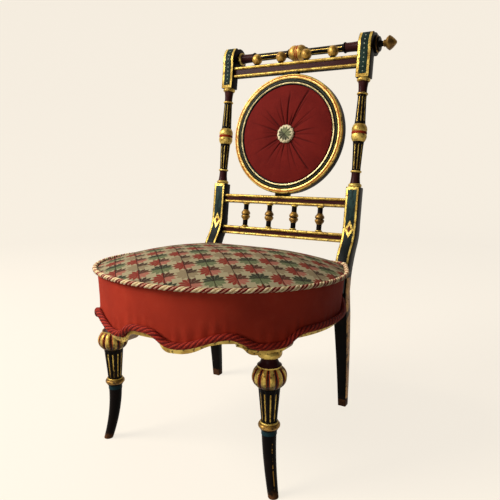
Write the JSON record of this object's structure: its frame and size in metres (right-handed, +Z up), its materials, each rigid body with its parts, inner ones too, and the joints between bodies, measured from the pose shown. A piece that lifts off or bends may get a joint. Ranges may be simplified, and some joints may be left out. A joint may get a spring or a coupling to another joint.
{
  "type": "boudoir chair",
  "caption": "Low boudoir chair with an ebonised, parcel-gilt turned frame, a round sprung seat over a scalloped apron and a raked back holding a padded medallion.",
  "frame": {"origin": "on the floor, under the middle of the chair's bounding box", "axes": "+Z up, the sitter faces -Y, +X is to the right seen from the front"},
  "size_m": [0.5186, 0.6382, 0.8757],
  "materials": {
    "ebonised_wood": "satin ebonised, painted and parcel-gilt",
    "gilt_wood": "worn gilding",
    "moulded_ring": "gilt, black and green painted mouldings",
    "seat_frame_wood": "plain",
    "velvet": "short pile",
    "printed_cloth": "woven leaf repeat",
    "twisted_cord": "twisted",
    "rim_cord": "twisted, two colours",
    "stuffing": "curled hair",
    "hessian": "plain weave",
    "dust_cover": "plain weave",
    "steel": "plain"
  },
  "bodies": {
    "root": {"back_seat_rail": "seat_frame_wood", "crest_ball_1": "gilt_wood", "crest_ball_2": "gilt_wood", "crest_ball_3": "gilt_wood", "crest_ball_4": "gilt_wood", "crest_rail": "ebonised_wood", "front_apron_moulding": "gilt_wood", "front_rail": "seat_frame_wood", "gallery_spindle_1": "ebonised_wood", "gallery_spindle_2": "ebonised_wood", "gallery_spindle_3": "ebonised_wood", "gallery_spindle_4": "ebonised_wood", "left_apron_moulding": "gilt_wood", "left_finial": "ebonised_wood", "left_front_leg": "ebonised_wood", "left_leg_block": "seat_frame_wood", "left_side_rail": "ebonised_wood", "left_stile": "ebonised_wood", "lower_gallery_rail": "ebonised_wood", "medallion_back_cover": "dust_cover", "medallion_board": "seat_frame_wood", "medallion_bottom_saddle": "ebonised_wood", "medallion_button": "printed_cloth", "medallion_pad": "velvet", "medallion_ring": "moulded_ring", "medallion_top_saddle": "ebonised_wood", "right_apron_moulding": "gilt_wood", "right_finial": "ebonised_wood", "right_front_leg": "ebonised_wood", "right_leg_block": "seat_frame_wood", "right_side_rail": "ebonised_wood", "right_stile": "ebonised_wood", "seat_boxing": "velvet", "seat_dust_cover": "dust_cover", "seat_hessian": "hessian", "seat_piping": "rim_cord", "seat_rope": "twisted_cord", "seat_springs": "steel", "seat_stuffing": "stuffing", "seat_top_cover": "printed_cloth", "seat_webbing": "hessian", "stile_screws": "steel", "top_rail": "ebonised_wood", "upper_gallery_rail": "ebonised_wood"}
  },
  "joints": []
}
